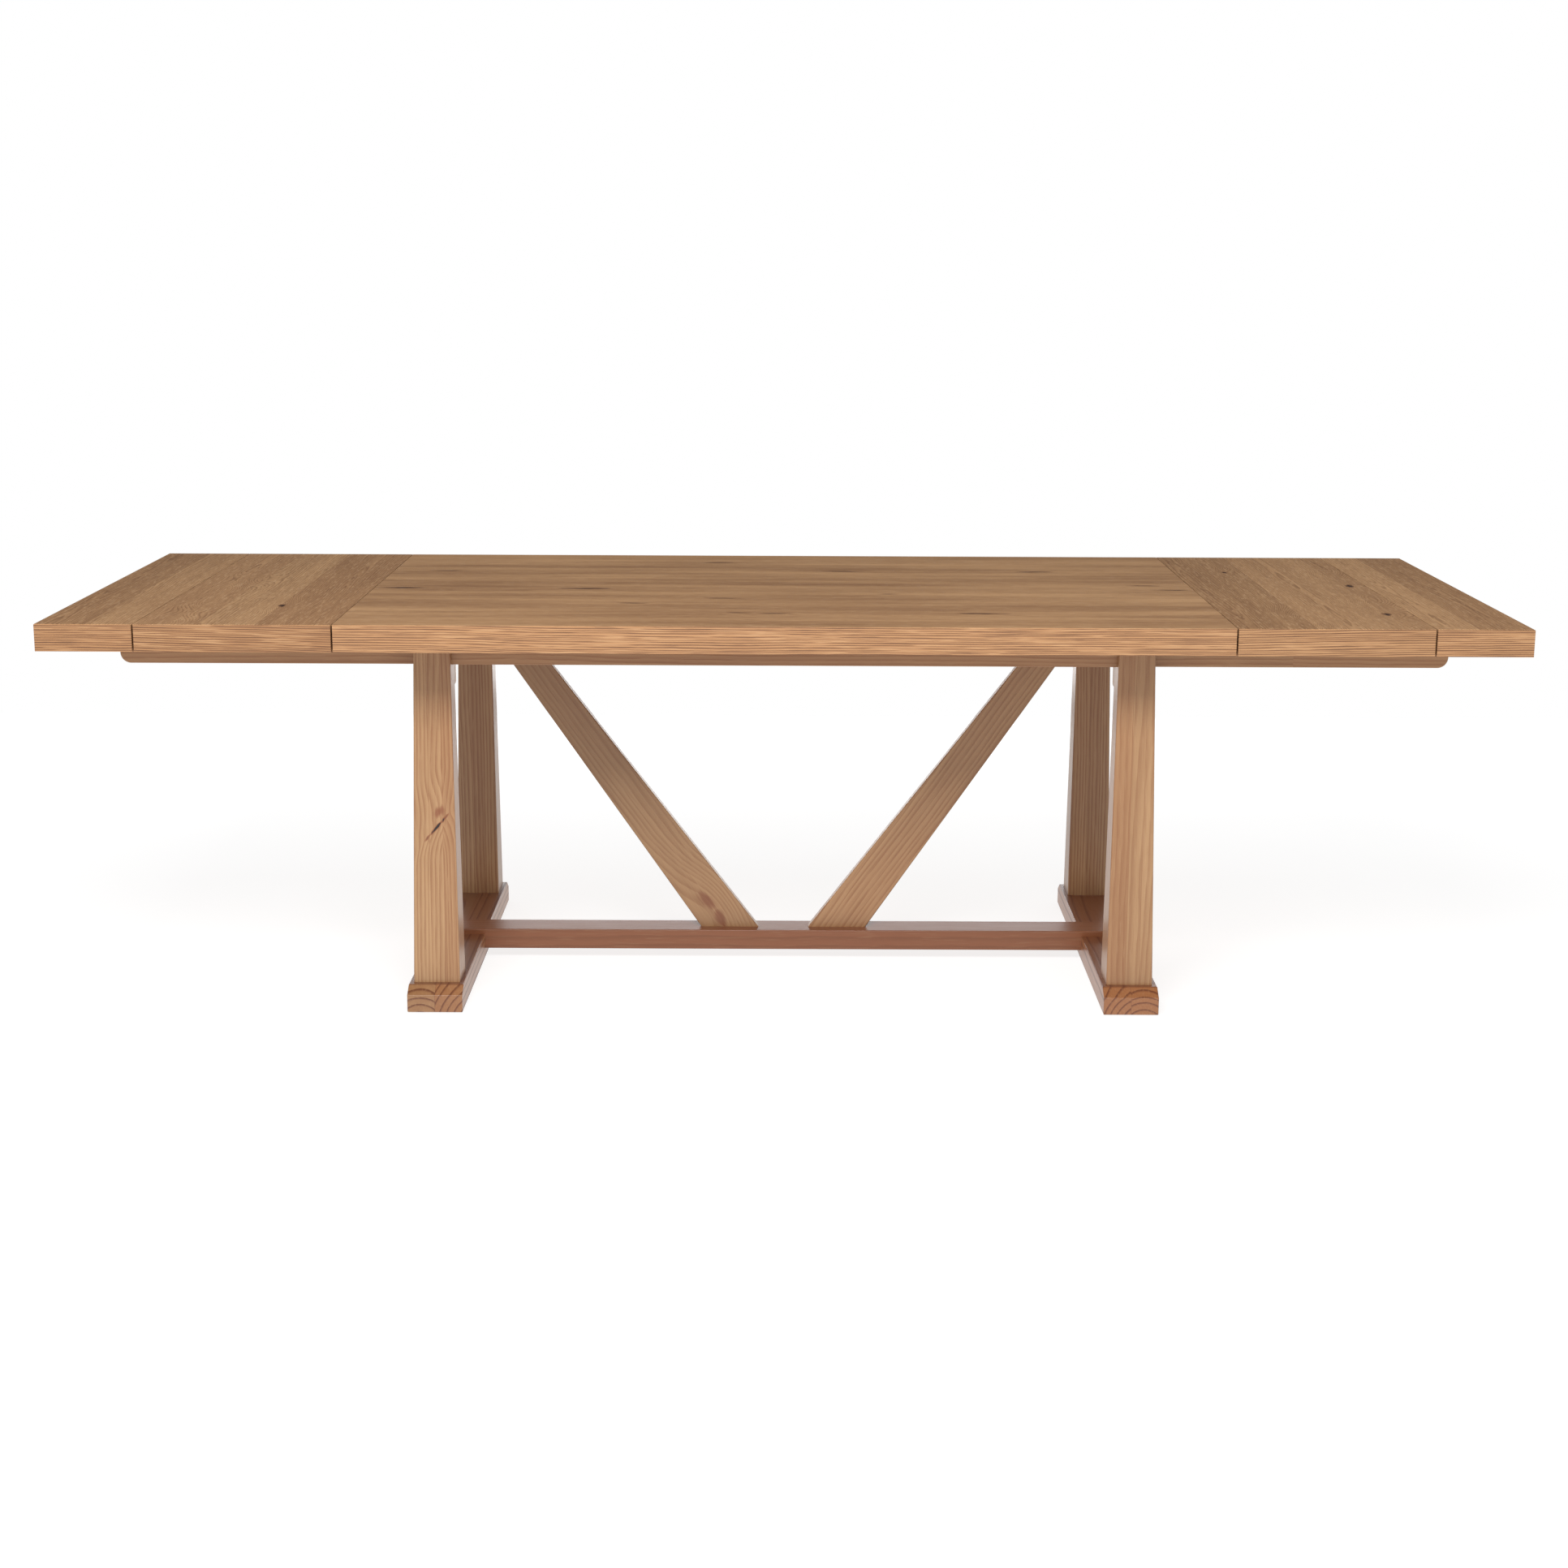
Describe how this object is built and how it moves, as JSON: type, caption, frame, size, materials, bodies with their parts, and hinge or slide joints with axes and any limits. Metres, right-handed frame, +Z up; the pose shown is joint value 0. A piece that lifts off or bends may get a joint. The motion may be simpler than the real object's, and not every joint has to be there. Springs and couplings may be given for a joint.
{
  "type": "extendable dining table",
  "caption": "Rectangular wooden dining table on a trestle base with slanting braces; its ends slide out on wooden rails and a loose leaf drops in at each side.",
  "frame": {"origin": "on the floor, under the middle of the table's footprint", "axes": "+X along the table to its right-hand end, +Y away from its front, +Z up"},
  "size_m": [2.7078, 1.016, 0.762],
  "materials": {
    "panel_veneer": "satin clear lacquer over oak veneer on a board",
    "edge_strip_wood": "satin clear lacquer on solid oak",
    "base_wood": "satin lacquer on solid pine",
    "frame_wood": "satin lacquer on solid softwood",
    "dowel_wood": "bare turned beech",
    "steel": "zinc plated",
    "glide_plastic": "moulded nylon"
  },
  "bodies": {
    "base": {"brace_left": "base_wood", "brace_right": "base_wood", "cross_beam_left": "frame_wood", "cross_beam_right": "frame_wood", "foot_bolts": "steel", "foot_glides": "glide_plastic", "foot_left": "base_wood", "foot_right": "base_wood", "frame_dowels": "dowel_wood", "head_rail_left": "frame_wood", "head_rail_right": "frame_wood", "leg_back_left": "base_wood", "leg_back_right": "base_wood", "leg_front_left": "base_wood", "leg_front_right": "base_wood", "leg_screws": "steel", "main_batten_left": "frame_wood", "main_batten_middle": "frame_wood", "main_batten_right": "frame_wood", "main_edge_back": "edge_strip_wood", "main_edge_front": "edge_strip_wood", "main_panel": "panel_veneer", "main_screws": "steel", "mid_rail_back": "frame_wood", "mid_rail_front": "frame_wood", "slide_guides_left": "frame_wood", "slide_guides_right": "frame_wood", "spine": "frame_wood", "stretcher": "base_wood"},
    "left_end": {"left_end_edge_back": "edge_strip_wood", "left_end_edge_front": "edge_strip_wood", "left_end_edge_outer": "edge_strip_wood", "left_end_panel": "panel_veneer", "left_end_rail": "frame_wood", "left_end_screws": "steel", "left_slide_back": "frame_wood", "left_slide_front": "frame_wood", "left_slide_tie": "frame_wood", "left_stop_pins": "dowel_wood"},
    "right_end": {"right_end_edge_back": "edge_strip_wood", "right_end_edge_front": "edge_strip_wood", "right_end_edge_outer": "edge_strip_wood", "right_end_panel": "panel_veneer", "right_end_rail": "frame_wood", "right_end_screws": "steel", "right_slide_back": "frame_wood", "right_slide_front": "frame_wood", "right_slide_tie": "frame_wood", "right_stop_pins": "dowel_wood"},
    "left_leaf": {"left_leaf_batten_inner": "frame_wood", "left_leaf_batten_outer": "frame_wood", "left_leaf_edge_back": "edge_strip_wood", "left_leaf_edge_front": "edge_strip_wood", "left_leaf_panel": "panel_veneer"},
    "right_leaf": {"right_leaf_batten_inner": "frame_wood", "right_leaf_batten_outer": "frame_wood", "right_leaf_edge_back": "edge_strip_wood", "right_leaf_edge_front": "edge_strip_wood", "right_leaf_panel": "panel_veneer"}
  },
  "joints": [
    {"name": "left_end_slide", "type": "slide", "parent": "base", "child": "left_end", "axis": [-1, 0, 0], "range_m": [0, 0.06]},
    {"name": "right_end_slide", "type": "slide", "parent": "base", "child": "right_end", "axis": [1, 0, 0], "range_m": [0, 0.06]},
    {"name": "left_leaf_lift", "type": "slide", "parent": "left_end", "child": "left_leaf", "axis": [0, 0, 1], "range_m": [0, 0.3]},
    {"name": "right_leaf_lift", "type": "slide", "parent": "right_end", "child": "right_leaf", "axis": [0, 0, 1], "range_m": [0, 0.3]}
  ]
}
